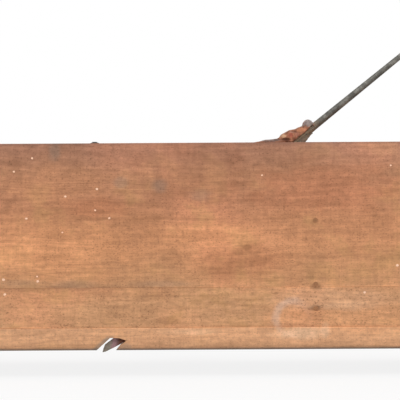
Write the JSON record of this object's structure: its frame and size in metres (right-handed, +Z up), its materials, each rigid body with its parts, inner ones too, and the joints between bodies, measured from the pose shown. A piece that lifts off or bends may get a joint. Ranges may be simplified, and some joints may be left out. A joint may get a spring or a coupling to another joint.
{
  "type": "forge bellows",
  "caption": "Wooden box bellows for a forge: an iron lever through a leather-sealed slot rocks a sliding piston, flaps let air in at the ends and a nozzle blows at the back.",
  "frame": {"origin": "under the middle of the whole object's box, on the floor the feet stand on", "axes": "+X along the case to the right as seen from the front, +Y from the front face to the nozzle at the back, +Z up"},
  "size_m": [0.884, 0.51, 0.6156],
  "materials": {
    "plank_wood": "old, worn, unpainted",
    "rail_wood": "worn pale edge",
    "inner_wood": "plain sawn",
    "grip_wood": "hand polished",
    "wrought_iron": "dark forged iron, slightly pitted",
    "old_leather": "dry, cracked"
  },
  "bodies": {
    "case": {"front_upper_plank": "plank_wood", "front_lower_plank": "plank_wood", "front_base_rail": "rail_wood", "back_upper_plank": "plank_wood", "back_lower_plank": "plank_wood", "back_base_rail": "rail_wood", "left_end_board": "plank_wood", "right_end_board": "plank_wood", "floor_board": "inner_wood", "lid_board": "plank_wood", "wall_cleats": "inner_wood", "left_foot": "inner_wood", "right_foot": "inner_wood", "front_shaft_bearing": "inner_wood", "back_shaft_bearing": "inner_wood", "bearing_bolts": "wrought_iron", "trunk_top_board": "plank_wood", "trunk_bottom_board": "plank_wood", "trunk_face_board": "plank_wood", "trunk_left_end": "plank_wood", "trunk_right_end": "plank_wood", "trunk_nails": "wrought_iron", "nozzle_flange": "wrought_iron", "nozzle_pipe": "wrought_iron", "nozzle_nails": "wrought_iron", "front_lashing_hook": "wrought_iron", "back_lashing_hook": "wrought_iron", "slot_leather": "old_leather", "leather_tacks": "wrought_iron", "case_nails": "wrought_iron", "cleat_nails": "wrought_iron", "lid_nails": "wrought_iron", "left_inlet_hinge": "old_leather", "right_inlet_hinge": "old_leather", "left_outlet_hinge": "old_leather", "right_outlet_hinge": "old_leather"},
    "lever": {"lever_rod": "wrought_iron", "lever_grip": "grip_wood", "grip_ferrule": "wrought_iron", "rock_shaft": "wrought_iron", "shaft_collars": "wrought_iron", "front_lower_arm": "wrought_iron", "back_lower_arm": "wrought_iron", "drive_pin": "wrought_iron"},
    "piston": {"piston_board": "inner_wood", "piston_battens": "inner_wood", "piston_packing": "old_leather", "yoke_bar": "wrought_iron", "yoke_bolts": "wrought_iron"},
    "left_inlet": {"left_inlet_flap": "inner_wood", "left_inlet_facing": "old_leather"},
    "right_inlet": {"right_inlet_flap": "inner_wood", "right_inlet_facing": "old_leather"},
    "left_outlet": {"left_outlet_flap": "inner_wood", "left_outlet_facing": "old_leather"},
    "right_outlet": {"right_outlet_flap": "inner_wood", "right_outlet_facing": "old_leather"}
  },
  "joints": [
    {"name": "lever_swing", "type": "hinge", "parent": "case", "child": "lever", "pos_m": [0.108, -0.105, 0.346], "axis": [0, -1, 0], "range_deg": [0, 60], "deforming": ["slot_leather"]},
    {"name": "piston_slide", "type": "slide", "parent": "case", "child": "piston", "axis": [1, 0, 0], "range_m": [0, 0.2251]},
    {"name": "left_inlet_swing", "type": "hinge", "parent": "case", "child": "left_inlet", "pos_m": [-0.4182, -0.105, 0.28], "axis": [0, -1, 0], "range_deg": [0, 35]},
    {"name": "right_inlet_swing", "type": "hinge", "parent": "case", "child": "right_inlet", "pos_m": [0.4182, -0.105, 0.28], "axis": [0, 1, 0], "range_deg": [0, 35]},
    {"name": "left_outlet_swing", "type": "hinge", "parent": "case", "child": "left_outlet", "pos_m": [-0.342, 0.0318, 0.158], "axis": [1, 0, 0], "range_deg": [0, 30]},
    {"name": "right_outlet_swing", "type": "hinge", "parent": "case", "child": "right_outlet", "pos_m": [0.342, 0.0318, 0.158], "axis": [1, 0, 0], "range_deg": [0, 30]}
  ],
  "couplings": [
    {"joint": "piston_slide", "follows": "lever_swing", "m_per_rad": 0.21486}
  ]
}
